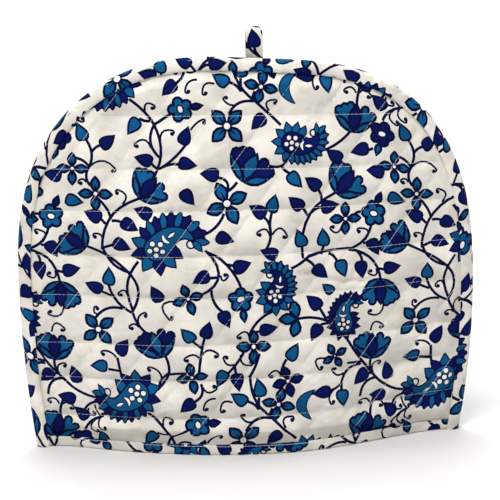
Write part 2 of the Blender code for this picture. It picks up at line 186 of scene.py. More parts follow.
STEMS = [Vine(*row) for row in (
    (68, 251, 69, 302, -.14), (69, 302, 46, 326, -.05), (69, 302, 85, 312, 0), (74, 271, 69, 302, .2),
    (73, 259, 95, 264, .1), (73, 259, 100, 283, -.05), (73, 259, 66, 265, .05), (68, 306, 56, 307, .1),
    (16, 179, 53, 231, .18), (25, 211, 12, 230, -.08), (20, 205, 15, 210, 0), (26, 208, 36, 207, .1),
    (17, 181, 26, 184, 0), (5, 242, 4, 260, .19), (4, 260, 2, 286, -.15), (7, 275, 16, 282, .1),
    (4, 260, -12, 269, -.14), (-23, 260, -37, 252, .2), (141, 239, 149, 246, -.05),
    (141, 240, 134, 251, -.25), (137, 217, 118, 198, .1), (143, 312, 166, 325, .18),
    (146, 369, 169, 325, -.13), (169, 325, 193, 303, 0), (239, 278, 264, 295, -.06),
    (202, 271, 184, 262, .22), (195, 262, 201, 256, -.1), (271, 318, 277, 342, .09),
    (297, 306, 314, 321, .13), (287, 278, 282, 276, 0), (248, 236, 215, 174, -.19),
    (230, 240, 234, 229, .1), (215, 222, 219, 216, 0), (224, 217, 235, 222, .1),
    (254, 266, 258, 261, 0), (203, 163, 221, 174, -.04), (221, 174, 265, 180, .04),
    (265, 180, 285, 208, -.15), (236, 184, 234, 177, 0), (276, 185, 282, 184, .05),
    (268, 214, 276, 215, .15), (182, 205, 178, 182, .1), (182, 205, 176, 214, -.1),
    (182, 202, 184, 217, .05), (0, 182, 40, 160, .05), (40, 160, 46, 119, .21),
    (16, 183, 43, 158, -.15), (52, 169, 45, 122, -.16), (46, 117, 60, 97, -.08),
    (45, 117, 22, 145, .14), (25, 132, 16, 136, 0), (36, 120, 9, 110, -.17), (78, 76, 72, 41, .2),
    (81, 56, 98, 57, .04), (72, 41, 81, 57, .1), (112, 59, 117, 94, .02), (114, 84, 106, 90, .05),
    (114, 47, 109, 30, .22), (118, 182, 111, 136, .36), (131, 156, 124, 155, 0),
    (124, 143, 134, 122, -.13), (120, 180, 154, 143, .12), (140, 168, 147, 167, 0),
    (156, 80, 140, 58, .03), (147, 67, 149, 56, 0), (261, 179, 295, 145, .2), (291, 159, 299, 158, 0),
    (270, 177, 275, 167, .1), (241, 176, 249, 169, .1), (218, 171, 227, 163, .1),
    (232, 122, 239, 110, 0), (210, 112, 239, 109, .08), (229, 102, 239, 106, .1),
    (261, 88, 288, 51, -.02), (288, 51, 324, 30, -.1), (286, 67, 288, 53, -.1), (276, 64, 263, 64, 0),
    (282, 51, 288, 51, 0), (293, 46, 276, 30, -.23), (276, 62, 256, 37, -.25), (255, 43, 245, 38, .1),
    (10, 21, -10, 7, -.2), (30, 70, 34, 50, 0), (20, 57, 31, 56, 0),
    (185, 121, 162, 99, -.11), (172, 78, 163, 55, .03), (172, 34, 172, 23, 0),
    (199, 72, 194, 55, -.08), (186, 22, 183, 15, 0),
    (199, 41, 197, 37, 0), (163, 97, 172, 101, .1), (222, 34, 229, 36, .15), (161, 30, 171, 23, .1))]
CURLS = [Vine(*row) for row in (
    (105, 297, 117, 307, .08), (75, 286, 87, 297, .33), (60, 315, 69, 321, .5), (66, 280, 50, 284, -.35),
    (37, 225, 33, 239, -.4), (17, 188, 9, 195, -.3), (4, 260, 30, 259, .27), (1, 245, -6, 247, -.3),
    (129, 33, 117, 22, -.24), (270, 332, 259, 336, -.3), (273, 332, 285, 330, .29),
    (308, 318, 310, 304, -.37), (314, 320, 319, 308, -.3), (278, 188, 272, 200, -.5),
    (254, 202, 243, 200, .39), (182, 196, 170, 200, -.38), (184, 197, 199, 196, .46),
    (12, 113, 7, 119, .35), (41, 134, 32, 136, -.48), (52, 106, 57, 118, .24), (52, 103, 43, 104, -.28),
    (75, 51, 63, 63, -.2), (114, 70, 98, 74, -.32), (114, 76, 130, 79, .26), (115, 45, 129, 42, -.31),
    (133, 158, 140, 156, -.6), (91, 130, 82, 112, -.6), (162, 93, 150, 97, -.5), (147, 68, 136, 74, .25),
    (153, 78, 163, 66, -.27), (290, 159, 283, 153, .55), (298, 121, 283, 113, .33),
    (285, 95, 298, 100, .5), (288, 54, 295, 63, .25), (239, 71, 232, 60, -.6), (248, 38, 245, 24, -.2),
    (258, 54, 246, 57, .25), (-4, 13, 2, 5, -.4), (3, 18, 10, 5, -.1), (29, 70, 15, 75, -.15),
    (146, 29, 134, 20, -.35), (167, 8, 155, 13, .15), (200, 2, 206, 13, .5), (194, 55, 182, 56, -.42))]
MOON = Vine(229, 40, 226, 9, -0.40)      # a crescent leaf
TREFOIL, TREFOIL_HEADINGS = (210, 112), (108, 180, 257)
SMALL_LEAF, SMALL_LEAF_SIZE = (241, 141), 0.8


def turned(points, heading):
    """Points turned counter-clockwise by a heading in degrees."""
    angle = np.radians(heading)
    turn = np.array(((np.cos(angle), np.sin(angle)), (-np.sin(angle), np.cos(angle))))
    return np.asarray(points, float) @ turn


def line_normals(path):
    """Left-hand unit normals of a path of points."""
    along = np.gradient(path, axis=0)
    along /= np.linalg.norm(along, axis=1, keepdims=True) + 1e-9
    return np.stack([-along[:, 1], along[:, 0]], axis=1)


def lengths_along(path):
    """The length of a path of points up to each of them."""
    return np.append(0.0, np.cumsum(np.linalg.norm(np.diff(path, axis=0), axis=1)))


def points_at(path, far, stops):
    """Where a path, with its length so far, is at the given lengths."""
    return np.stack([np.interp(stops, far, path[:, axis]) for axis in (0, 1)], axis=-1)


def ribbon(path, half):
    """The outline of a line with its own half width at each point: left side out, right side back."""
    side = line_normals(path) * np.reshape(half, (-1, 1))
    return np.concatenate([path + side, (path - side)[::-1]])


def lens(length, width, fullest=0.5, steps=5, sharp=1.0):
    """A petal from the origin along +X: half width = sin(pi * t^k)^sharp, k set by where it is fullest."""
    t = (1.0 - np.cos(np.pi * np.linspace(0.0, 1.0, steps + 2))) / 2
    half = width / 2 * np.abs(np.sin(np.pi * t ** (np.log(0.5) / np.log(fullest)))) ** sharp
    out, back = np.stack([t * length, half], 1), np.stack([t * length, -half], 1)[-2:0:-1]
    return np.concatenate([out, back])


def disc(radius, steps=8):
    """A round dot."""
    turn = np.linspace(0.0, 2 * np.pi, steps, endpoint=False)
    return radius * np.stack([np.cos(turn), np.sin(turn)], axis=1)


def inked(shape, dye, line=LINE):
    """An ink shape with the dyed shape drawn in by a line's width inside it."""
    ring = np.concatenate([shape[-1:], shape, shape[:1]])
    inner = shape + line_normals(ring)[1:-1] * line * (1 if area_of(shape) > 0 else -1)
    return [(INK, shape), (dye, inner)]


def area_of(shape):
    """Signed area of a closed outline, positive when it runs counter-clockwise."""
    x, z = shape[:, 0], shape[:, 1]
    return 0.5 * (x * np.roll(z, -1) - z * np.roll(x, -1)).sum()


def set_at(layers, x, z, heading=0.0):
    """Layers drawn round the origin, turned and moved to their place."""
    return [(dye, turned(shape, heading) + (x, z)) for dye, shape in layers]


def bowed(vine, hook=1.0, steps=8):
    """A line from one point to another, bowed sideways by t^hook * (1-t), scaled to the bow."""
    start, end = np.array(vine[:2], float), np.array(vine[2:4], float)
    t = np.linspace(0.0, 1.0, steps)[:, None]
    hump = t ** hook * (1.0 - t)
    peak = (hook / (1 + hook)) ** hook / (1 + hook)
    left = np.array((start[1] - end[1], end[0] - start[0]))
    return start + (end - start) * t + left * vine.bow * hump / peak


def curled(vine):
    """A tendril: a bowed line to its second point, where it winds on into a small hook.

    The hook is an arc that tightens from 2.4 to 1.4 steps' radius while its heading turns by 3.3.
    """
    main = bowed(vine, steps=6)
    end = main[-1] - main[-2]
    swing = np.arctan2(end[1], end[0]) - np.sign(vine.bow) * np.linspace(0.3, 3.3, 8)
    radius = np.linspace(2.4, 1.4, 8)[:, None]
    hook = main[-1] + np.cumsum(np.stack([np.cos(swing), np.sin(swing)], 1) * radius * 3.0 / 8, axis=0)
    return np.concatenate([main, hook])


def leaf(dye, length=19.5, width=14.2):
    """A leaf round the origin, blunt at its stalk and drawn out to a tip that bends a little aside.

    Each half is sin(pi * a^0.58) to a power that grows from 0.55 at the stalk to 1 at the tip.
    """
    a = (1.0 - np.cos(np.pi * np.linspace(0.0, 1.0, 9))) / 2
    half = width / 2 * np.abs(np.sin(np.pi * a ** 0.58)) ** (0.55 + 0.45 * a)
    bend = 0.13 * length * a ** 3
    x = (a - 0.46) * length
    shape = np.concatenate([np.stack([x, bend - half], 1), np.stack([x, bend + half], 1)[-2:0:-1]])
    return inked(shape, dye, 2.1)


def four_petals(flower):
    """Four pointed petals with a dark vein each, round a white dot."""
    layers = []
    for quarter in range(4):
        heading = flower.turn + 90 * quarter
        petal = inked(lens(1.2 * flower.reach, 0.76 * flower.reach, 0.53, 6, 0.9), flower.dye)
        vein = [(INK, lens(0.68 * flower.reach, 2.2, 0.5, 3))]
        layers += set_at(petal + vein, 0, 0, heading)
    eye = 0.38 * (flower.reach - 10)
    return set_at(layers + [(INK, disc(eye + 1.8, 12)), (WHITE, disc(eye, 10))], flower.x, flower.z)


def lobed_petal(dye, reach, across, lobes):
    """A petal from the origin along +X that ends in round lobes: a wedge with a disc for each lobe."""
    knob = 0.17 * reach
    turn = np.radians(np.linspace(-across / 2, across / 2, lobes))
    tops = (reach - knob) * np.stack([np.cos(turn), np.sin(turn)], axis=1)
    layers = []
    for paint, inset in ((INK, 0.0), (dye, LINE)):
        round_top = disc(knob - inset)
        low = tops[0] + round_top[6]
        high = tops[-1] + round_top[2]
        layers.append((paint, np.array([(3.0 * inset, 0.0), low, *tops, high])))
        layers += [(paint, round_top + top) for top in tops]
    return layers


def cup_flower(flower):
    """A flower in profile: two lobed petals, a pointed core between them, and two sepals from its foot."""
    size = flower.size
    sides, core = (NAVY, TEAL) if flower.full else (TEAL, NAVY)
    layers = set_at(lobed_petal(sides, 0.96 * size, 26, 3), 0, 0, 27)
    layers += set_at(lobed_petal(sides, 0.92 * size, 22, 2), 0, 0, -32)
    layers += inked(lens(0.88 * size, 0.46 * size, 0.52), core)
    for lean, long in ((52, 0.84), (-55, 0.76)):
        layers += set_at(inked(lens(long * size, 0.29 * size, 0.46), TEAL), 0, 0, lean)
    moved = [(dye, shape - (0.46 * size, 0.0)) for dye, shape in layers]
    return set_at(moved, flower.x, flower.z, flower.heading)


def lobed_flower(flower):
    """Five round lobes about a white oval in an ink ring, with one pointed leaf at its edge."""
    layers = []
    for paint, inset in ((INK, 0.0), (flower.dye, LINE)):
        layers.append((paint, disc(9.4 - inset, 12)))
        for lobe in range(5):
            layers.append((paint, disc(6.1 - inset, 10) + turned([(7.4, 0.0)], 72 * lobe)[0]))
    for lobe in range(5):
        layers.append((INK, turned(lens(5.4, 1.8, 0.6, 3) + (5.2, 0.0), 72 * lobe + 36)))
    layers += [(INK, disc(5.0, 12) * (1.0, 0.8)), (WHITE, disc(3.5, 10) * (1.0, 0.66))]
    front = inked(lens(15, 9, 0.42), flower.leaf_dye)
    front = set_at([(dye, shape + (9.0, 0.0)) for dye, shape in front], 0, 0, flower.leaf)
    return set_at(set_at(layers, 0, 0, flower.leaf + 100) + front, flower.x, flower.z)


def paisley(motif):
    """A drop that curls at its tail inside a ring of pointed petals, with a white posy in it.

    The spine turns by bend degrees as t^2, and the half width is (1-t)^1.15 * (1 + 0.35 sin(pi*t)). The
    ring walks from the tail along the outer side, where its petals are narrow and lean, round the head,
    where they are broad, and a little way back along the hollow side. The tail ends in a tendril and a
    leaf.
    """
    t = np.linspace(0.0, 1.0, SPINE_STEPS + 1)
    way_round = np.sign(motif.bend)
    turn = np.radians(motif.heading + motif.bend * t ** 2)
    ahead = np.stack([np.cos(turn), np.sin(turn)], axis=1)
    outer = np.stack([ahead[:, 1], -ahead[:, 0]], axis=1) * way_round
    spine = np.cumsum(ahead * motif.length / SPINE_STEPS, axis=0)
    spine += (motif.x, motif.z) - spine[0]
    half = (motif.head * (1.0 - t) ** 1.15 * (1.0 + 0.35 * np.sin(np.pi * t)) + 0.7)[:, None]
    cap_turn = np.radians(np.linspace(0, 180, CAP_STEPS + 2))[1:-1, None]
    cap = spine[0] + half[0] * (outer[0] * np.cos(cap_turn) - ahead[0] * np.sin(cap_turn))
    body = np.concatenate([(spine + outer * half)[::-1], cap, spine - outer * half])
    walk = body[1:SPINE_STEPS + 1 + CAP_STEPS + BACK_STEPS]
    out = line_normals(walk) * way_round
    far = lengths_along(walk)
    two_dyes = motif.head > 10
    reach = motif.petals * (0.74 - 0.30 * smooth((far / far[-1] - 0.42) / 0.2))[:, None]
    band = np.concatenate([walk + out * reach, spine[BACK_STEPS:]])
    layers = [(INK, band)]
    stop, number = 2.0, 0
    while stop < far[-1]:
        broad = smooth((stop / far[-1] - 0.42) / 0.2)
        spacing = motif.petals * (0.41 + 0.17 * broad)
        foot, way = points_at(walk, far, stop), points_at(out, far, stop)
        dye = (TEAL, NAVY)[number % 2] if two_dyes else TEAL + NAVY - motif.body
        petal = lens(motif.petals + 3, (1.45 + 0.15 * broad) * spacing, 0.50 - 0.14 * broad,
                     sharp=0.6 + 0.4 * broad)
        petal = inked(petal, dye, 1.5)
        petal = [(dye, shape - (3, 0)) for dye, shape in petal]
        lean = 16 * way_round * (1 - broad)
        layers += set_at(petal, *foot, np.degrees(np.arctan2(way[1], way[0])) + lean)
        stop += spacing
        number += 1
    layers += [(INK, grown(body[1:-1], 0.9)), (motif.body, grown(body[3:-3], -0.8))]

    marks = []
    for dot in range(6):
        away = turned([(0.58 * motif.head * (dot > 0), 0.0)], 72 * dot + motif.heading)[0]
        marks.append(disc(0.22 * motif.head) + spine[0] + away)
    along = SPINE_STEPS * motif.head / motif.length
    brow = bowed(Vine(0, -0.42 * motif.head, 0, 0.42 * motif.head, 0.22), 1.0, 6)
    brow = ribbon(brow, 0.13 * motif.head * np.sin(np.linspace(0.3, 2.84, 6)))
    for shape, at in ((brow, 1.3), (lens(0.75 * motif.head, 0.28 * motif.head, 0.5, 3), 1.55)):
        place = int(at * along)
        marks.append(turned(shape, np.degrees(turn[place])) + spine[place])
    layers += [(INK, grown(mark, 1.2)) for mark in marks] + [(WHITE, mark) for mark in marks]

    wind = np.linspace(0.0, 1.0, 12)
    swing = turn[-1] + way_round * 5.2 * wind ** 0.9
    tendril = spine[-2] + np.cumsum(np.stack([np.cos(swing), np.sin(swing)], 1) * motif.head * 0.16, axis=0)
    small = inked(lens(1.1 * motif.petals, 0.55 * motif.petals, 0.42), TEAL if motif.head > 8 else NAVY, 1.3)
    small = set_at(small, *spine[-4], np.degrees(turn[-1]) - 32 * way_round)
    return layers + small + [(INK, ribbon(tendril, np.full(12, 0.9))), (INK, tendril[-1] + disc(1.5))]


def grown(shape, by):
    """A closed outline moved out by a distance, or in by a negative one."""
    ring = np.concatenate([shape[-1:], shape, shape[:1]])
    return shape - line_normals(ring)[1:-1] * by * np.sign(area_of(shape))


def smooth(t):
    """Zero below 0, one above 1, and an even S between."""
    t = np.clip(t, 0.0, 1.0)
    return t * t * (3.0 - 2.0 * t)


def vine_print():
    """One repeat of the print as (dye, outline) pairs in painting order, in chart steps."""
    layers = []
    for stem in STEMS:
        path = bowed(stem)
        ahead = path[-1] - path[-2]
        path = np.append(path, [path[-1] + ahead / np.hypot(*ahead) * 2.0], axis=0)
        layers.append((INK, ribbon(path, STEM)))
    for curl in CURLS:
        path = curled(curl)
        layers += [(INK, ribbon(path, np.linspace(1.1, 0.9, len(path)))), (INK, path[-1] + disc(2.1))]
    layers += inked(ribbon(bowed(MOON, 1.0, 14), 5.8 * np.sin(np.linspace(0.05, 3.09, 14)) ** 0.8), TEAL, 1.3)
    for way in TREFOIL_HEADINGS:
        layers += set_at(inked(lens(20, 13, 0.52, 6, 0.8), TEAL), *TREFOIL, way)
    for spot in LEAVES:
        small = SMALL_LEAF_SIZE if (spot.x, spot.z) == SMALL_LEAF else 1.0
        layers += set_at(leaf(spot.dye, 19.5 * small, 14.2 * small), spot.x, spot.z, spot.heading)
    for make, spots in ((four_petals, FOUR_PETALS), (lobed_flower, LOBED_FLOWERS),
                        (cup_flower, CUP_FLOWERS), (paisley, PAISLEYS)):
        for spot in spots:
            layers += make(spot)
    return layers


# --- The two quilted panels ------------------------------------------------------------------------
# Two arches of the printed cotton over wadding and plain cotton, machine quilted before they were
# cut: level rows and rows that climb to the right. Their edges lie under the bindings.
WIDTH, HEIGHT = 0.330, 0.2818
FOOT_WIDTH = 0.3122
WAIST_HEIGHT = 0.114
ROUNDNESS = 2.61
TOP_SLACK, TOP_SLACK_SPREAD, TOP_SLACK_X, TOP_LEAN = 0.0026, 0.050, 0.020, 0.035
BULGE, BULGE_POWER, BULGE_TAPER = 0.038, 1.92, 0.35
Wave = namedtuple("Wave", "x z phase depth")
SLACK = [Wave(0.190, 0.330, 0.6, 0.0012), Wave(-0.120, 0.160, 2.1, 0.0008),
         Wave(0.083, -0.240, 4.0, 0.0005)]
FOOT_LEAN = 0.0022       # how far both feet stand left of the arch
GAP = 0.0003
HALF_GAP = GAP / 2
THIN, FULL, PUFF = 0.0025, 0.0045, 0.0037
CLOTH = 0.0012
HEM_PRESS = GAP + CLOTH
DIMPLE, DIMPLE_START = 0.0007, 0.020     # how far the plain face swells in, and from what height
PUFF_RUN = 0.007
LevelRow = namedtuple("LevelRow", "height rise")
LEVEL_ROWS = [LevelRow(*row) for row in (
    (-0.0020, 0.0), (0.0282, 0.0030), (0.0563, 0.0030), (0.0813, 0.0020), (0.1150, 0.0), (0.1441, 0.0),
    (0.1752, -0.0010), (0.2031, -0.0030), (0.2394, -0.0040), (0.2840, -0.0040))]
CLIMB, CLIMB_FIRST, CLIMB_PITCH, CLIMB_UNEVEN, CLIMB_COUNT = 1.25, -0.415, 0.040, 0.0012, 16
LEVEL_PITCH, CLIMB_GAP = 0.030, 0.031      # about how far apart the rows lie
LEVEL_PUCKER, CLIMB_PUCKER, PUCKER_OFF, PUCKER_SPREAD = 0.00034, 0.00026, 0.003, 0.0025
PANEL_INSET, FLANGE = 0.0020, 0.0102
PANEL_FOOT, HEM_ROW, LINING_ROW = CLOTH + GAP, 0.0086, 0.0115
CELL_STEPS = (0.0, 0.015, 0.05, 0.1, 0.17, 0.25, 0.33, 0.42, 0.5, 0.58, 0.67, 0.75, 0.83, 0.9, 0.95,
              0.985)     # where a quilted cell has its points, as shares of its width
BACKING_STEPS = (0.0, 0.12, 0.5, 0.88)
CHART_MIDDLE, PRINT_LEAN = (161.5, 163.3), 0.0294
PRINT_MIDDLE = 0.135     # height on the cosy of the middle of the chart
SIDE_SAG, FOOT_DRAWN = 0.0058, 0.0040
BACK_PRINT = np.array((96.0, 143.0))   # how far along the cloth the back panel was cut, in chart steps


def top_drop(x, z):
    """How far the top has given way: a bell right of its middle, and a lean down to the right."""
    slack = TOP_SLACK * np.exp(-((x - TOP_SLACK_X) / TOP_SLACK_SPREAD) ** 2)
    lean = TOP_LEAN * x * np.exp(-(x / (2 * TOP_SLACK_SPREAD)) ** 2)
    return smooth((z - 0.8 * HEIGHT) / (0.2 * HEIGHT)) * (slack + lean)


def arch_outline():
    """The arch's edge from the right foot over the top to the left foot, and its inward normals.

    Each side draws in to the foot as a parabola. Above the waist the arch is a superellipse.
    """
    z_side = np.linspace(-0.004, WAIST_HEIGHT, 125, endpoint=False)
    x_side = WIDTH / 2 - (WIDTH - FOOT_WIDTH) / 2 * ((WAIST_HEIGHT - z_side) / WAIST_HEIGHT) ** 2
    turn = np.linspace(0.0, np.pi / 2, 125)
    x_top = WIDTH / 2 * np.abs(np.cos(turn)) ** (2 / ROUNDNESS)
    x_top[-1] = 0.0
    z_top = WAIST_HEIGHT + (HEIGHT - WAIST_HEIGHT) * np.sin(turn) ** (2 / ROUNDNESS)
    right = np.stack([np.append(x_side, x_top), np.append(z_side, z_top)], axis=1)
    outline = np.concatenate([right, right[-2::-1] * (-1, 1)])
    outline[:, 1] -= top_drop(*outline.T)
    return outline, line_normals(outline)


OUTLINE, INWARD = arch_outline()


def arch_curve(inset, floor, count):
    """Evenly spaced points along the arch, moved in by inset and cut off level at height floor."""
    curve = OUTLINE + INWARD * inset
    middle = len(curve) // 2
    right, left = curve[:middle], curve[middle:]
    start = (np.interp(floor, right[:, 1], right[:, 0]), floor)
    end = (np.interp(floor, left[::-1, 1], left[::-1, 0]), floor)
    curve = np.concatenate([[start], curve[curve[:, 1] > floor], [end]])
    far = lengths_along(curve)
    return points_at(curve, far, np.linspace(0.0, far[-1], count))


def edge_distance(x, z):
    """How far each point lies inside the arch's outer edge, a few thousand points at a time."""
    found = []
    for part in np.array_split(np.stack([x, z], axis=1), len(x) // 4000 + 1):
        away = part[:, None, :] - OUTLINE[None]
        nearest = np.argmin((away ** 2).sum(axis=2), axis=1)
        found.append((away[np.arange(len(part)), nearest] * INWARD[nearest]).sum(axis=1))
    return np.concatenate(found)


def side_x(z, inset):
    """Half the width between the moved-in edges near the foot, at height z."""
    curve = (OUTLINE + INWARD * inset)[:len(OUTLINE) // 4]
    return np.interp(z, curve[:, 1], curve[:, 0])


def leaned(points):
    """The cosy as it stands: below its waist it eases to the left as a parabola."""
    drop = np.clip((WAIST_HEIGHT - points[:, 2]) / WAIST_HEIGHT, 0.0, None)
    return points - FOOT_LEAN * drop[:, None] ** 2 * (1.0, 0.0, 0.0)


def bulge(x, z):
    """How far a panel's inner face stands from the middle plane: flat at the edge, fullest at the hem."""
    drop = np.maximum((WAIST_HEIGHT - z) / WAIST_HEIGHT, 0.0)
    across = np.abs(x) / (WIDTH / 2 - FLANGE - (WIDTH - FOOT_WIDTH) / 2 * drop ** 2)
    up = np.clip((z - WAIST_HEIGHT) / (HEIGHT - FLANGE - WAIST_HEIGHT), 0.0, None)
    inside = np.clip(1.0 - across ** ROUNDNESS - up ** ROUNDNESS, 0.0, None) ** BULGE_POWER
    waves = sum(w.depth * np.sin(2 * np.pi * (x / w.x + z / w.z) + w.phase) for w in SLACK)
    return inside * (BULGE * (1.0 - BULGE_TAPER * z / HEIGHT) + waves)


def climbing_start(row):
    """Where a climbing row meets z = 0."""
    return CLIMB_FIRST + CLIMB_PITCH * row + CLIMB_UNEVEN * np.sin(2.4 * row)


def quilt_rows(x, z):
    """Which level and which climbing row a point is at: whole numbers lie on the stitching."""
    heights = [row.height + row.rise * x * 2 / WIDTH for row in LEVEL_ROWS]
    level = sum(np.clip((z - low) / (high - low), 0.0, 1.0) for low, high in zip(heights, heights[1:]))
    rows = np.linspace(0, CLIMB_COUNT, 20 * CLIMB_COUNT + 1)
    return level, np.interp(x - z / CLIMB, climbing_start(rows), rows)


def pillow_rise(row):
    """The rise beside a stitch row, 0 on it to 1 midway: tanh(1.4 |sin|), a round pillow's profile."""
    return np.tanh(1.4 * np.abs(np.sin(np.pi * row))) / np.tanh(1.4)


def puff(x, z):
    """The quilting: nothing on the stitching, a soft pillow between, small puckers beside each row."""
    level, climbing = quilt_rows(x, z)
    across = pillow_rise(level) * (0.42 + 0.58 * pillow_rise(climbing))
    cell = 12.9 * np.floor(level) + 7.3 * np.floor(climbing)
    pillow = PUFF * across * (1.0 + 0.22 * np.sin(cell))
    off_level = np.abs(level - np.round(level)) * LEVEL_PITCH
    off_climbing = np.abs(climbing - np.round(climbing)) * CLIMB_GAP
    swing = np.sin(x * 620 + 2.0 * np.sin(x * 90 + 5 * np.round(level)))
    swing_up = np.sin(z * 560 + x * 200 + 2.0 * np.sin(z * 80 + 3 * np.round(climbing)))
    pucker = LEVEL_PUCKER * swing * np.exp(-((off_level - PUCKER_OFF) / PUCKER_SPREAD) ** 2)
    pucker += CLIMB_PUCKER * swing_up * np.exp(-((off_climbing - PUCKER_OFF) / PUCKER_SPREAD) ** 2)
    return pillow + pucker


Crease = namedtuple("Crease", "x0 z0 x1 z1 depth spread")
CREASES = [Crease(*row) for row in (
    (0.055, 0.124, 0.090, 0.1195, 0.0026, 0.0023), (0.034, 0.130, 0.046, 0.1285, 0.0018, 0.0020),
    (0.064, 0.118, 0.078, 0.129, 0.0017, 0.0026), (0.085, 0.112, 0.116, 0.108, 0.0018, 0.0032),
    (0.050, 0.143, 0.098, 0.120, 0.0012, 0.0040), (0.085, 0.052, 0.130, 0.060, 0.0013, 0.0045),
    (-0.060, 0.164, -0.050, 0.150, 0.0006, 0.0040), (0.100, 0.150, 0.130, 0.172, 0.0009, 0.0050),
    (-0.030, 0.088, 0.020, 0.084, 0.0005, 0.0040), (0.060, 0.020, 0.098, 0.040, 0.0007, 0.0045))]


def creases(x, z):
    """Soft troughs: deepest along a line from one point to another, falling off as a bell beside it."""
    depth = np.zeros_like(x)
    for c in CREASES:
        along = np.array((c.x1 - c.x0, c.z1 - c.z0))
        length = np.hypot(*along)
        along /= length
        far = (x - c.x0) * along[0] + (z - c.z0) * along[1]
        beside = (z - c.z0) * along[0] - (x - c.x0) * along[1]
        ends = smooth(far / length * 3 + 0.5) * smooth((1 - far / length) * 3 + 0.5)
        depth += c.depth * ends * np.exp(-(beside / c.spread) ** 2)
    return depth


def free_share(x, z):
    """How free the wadding is: nothing under the bindings, all of it a little way inside them."""
    return smooth(np.minimum(edge_distance(x, z) - FLANGE, z - LINING_ROW) / PUFF_RUN)


def outer_depth(x, z):
    """A panel's printed face: pressed flat under the bindings, swollen, quilted and creased inside."""
    swell = FULL - THIN + puff(x, z) - creases(x, z)
    return HALF_GAP + bulge(x, z) + THIN + swell * free_share(x, z)


def inner_depth(x, z):
    """A panel's plain face, which steps back behind the hem's inner leg and dimples at the quilting."""
    pressed = np.clip((LINING_ROW - z) / (LINING_ROW - HEM_ROW), 0.0, 1.0)
    level, climbing = quilt_rows(x, z)
    pillow = np.abs(np.sin(np.pi * level) * np.sin(np.pi * climbing)) ** 0.6
    dimple = DIMPLE * pillow * free_share(x, z) * (z > DIMPLE_START)
    return HALF_GAP + bulge(x, z) + HEM_PRESS * pressed - dimple


def quilt_lattice(steps):
    """Points on and between the stitch rows, closer beside them, and the stitched edges."""
    whole = np.arange(len(LEVEL_ROWS) - 1)[:, None] + np.array(steps)[None]
    levels = np.append(whole.ravel(), len(LEVEL_ROWS) - 1)
    climbs = np.append((np.arange(CLIMB_COUNT)[:, None] + np.array(steps)[None]).ravel(), CLIMB_COUNT)
    rows = np.arange(len(LEVEL_ROWS))
    height = np.interp(levels, rows, [row.height for row in LEVEL_ROWS])[:, None]
    slope = np.interp(levels, rows, [row.rise for row in LEVEL_ROWS])[:, None] * 2 / WIDTH
    start = climbing_start(climbs)[None]
    z = (height + slope * start) / (1 - slope / CLIMB)
    points = np.stack([start + z / CLIMB, z], axis=2)
    index = np.arange(z.size).reshape(z.shape)
    flat = points.reshape(-1, 2)
    kept = np.minimum(edge_distance(flat[:, 0], flat[:, 1]) - FLANGE, flat[:, 1] - LINING_ROW) > 0.001
    on_level, on_climb = index[::len(steps)], index[:, ::len(steps)]
    edges = np.concatenate([np.stack([on_level[:, :-1].ravel(), on_level[:, 1:].ravel()], axis=1),
                            np.stack([on_climb[:-1].ravel(), on_climb[1:].ravel()], axis=1)])
    edges = edges[kept[edges].all(axis=1)]
    return flat[kept], (np.cumsum(kept) - 1)[edges]


def winding(points, shape):
    """How often a closed outline runs round each point."""
    a, b = shape, np.roll(shape, -1, axis=0)
    x, z = points[:, :1], points[:, 1:]
    up = (a[:, 1] <= z) & (b[:, 1] > z)
    down = (a[:, 1] > z) & (b[:, 1] <= z)
    side = (b[:, 0] - a[:, 0]) * (z - a[:, 1]) - (x - a[:, 0]) * (b[:, 1] - a[:, 1])
    return (up & (side > 0)).sum(axis=1) - (down & (side < 0)).sum(axis=1)


def triangles_of(rim, points, edges, layers):
    """Cuts a pattern into triangles along its rim, the given edges and every outline of the print."""
    all_points, all_edges = [rim, points], [edges + len(rim)]
    base = len(rim) + len(points)
    for _, shape in layers:
        ids = np.arange(len(shape)) + base
        all_points.append(shape)
        all_edges.append(np.stack([ids, np.roll(ids, -1)], axis=1))
        base += len(shape)
    flat = [Vector(p) for p in (np.concatenate(all_points) * 1000).tolist()]
    pairs = np.concatenate(all_edges).astype(int).tolist()
    out = delaunay_2d_cdt(flat, pairs, [list(range(len(rim)))], 1, 1e-3)
    flat, triangles = np.array([tuple(v) for v in out[0]]) / 1000, np.array(out[2])
    triangles = triangles[winding(flat[triangles].mean(axis=1), rim) != 0]
    used, renumbered = np.unique(triangles, return_inverse=True)
    return flat[used], renumbered.reshape(-1, 3)


def dyes_of(flat, triangles, layers):
    """The dye of each triangle: that of the last painted outline round its middle."""
    middles = flat[triangles].mean(axis=1)
    dyes = np.full(len(middles), GROUND)
    for dye, shape in layers:
        low, high = shape.min(axis=0), shape.max(axis=0)
        near = np.flatnonzero(((middles > low) & (middles < high)).all(axis=1))
        if len(near):
            dyes[near[winding(middles[near], shape) != 0]] = dye
    return dyes


def drifted(points):
    """The print as the cloth lies: it hangs low at the upper right and is drawn in at both feet."""
    side = smooth((np.abs(points[:, 0]) - 0.085) / 0.045)
    height = points[:, 1] + PRINT_MIDDLE
    sag = SIDE_SAG * side * (points[:, 0] > 0) * smooth((height - 0.08) / 0.08)
    drawn = FOOT_DRAWN * side * np.sign(points[:, 0]) * (1.0 - smooth((height - 0.03) / 0.06))
    return points - np.stack([drawn, sag], axis=1)


def print_over(low, high, carry):
    """The print's outlines, over and over, that reach a rectangle of cloth once they are carried to it."""
    moves = [REPEAT_ACROSS * across + REPEAT_UP * up for up in range(-3, 4) for across in range(-4, 6)]
    layers = [(dye, carry(shape + move)) for dye, shape in VINE_PRINT for move in moves]
    return [(dye, shape) for dye, shape in layers
            if (shape.max(axis=0) > low).all() and (shape.min(axis=0) < high).all()]


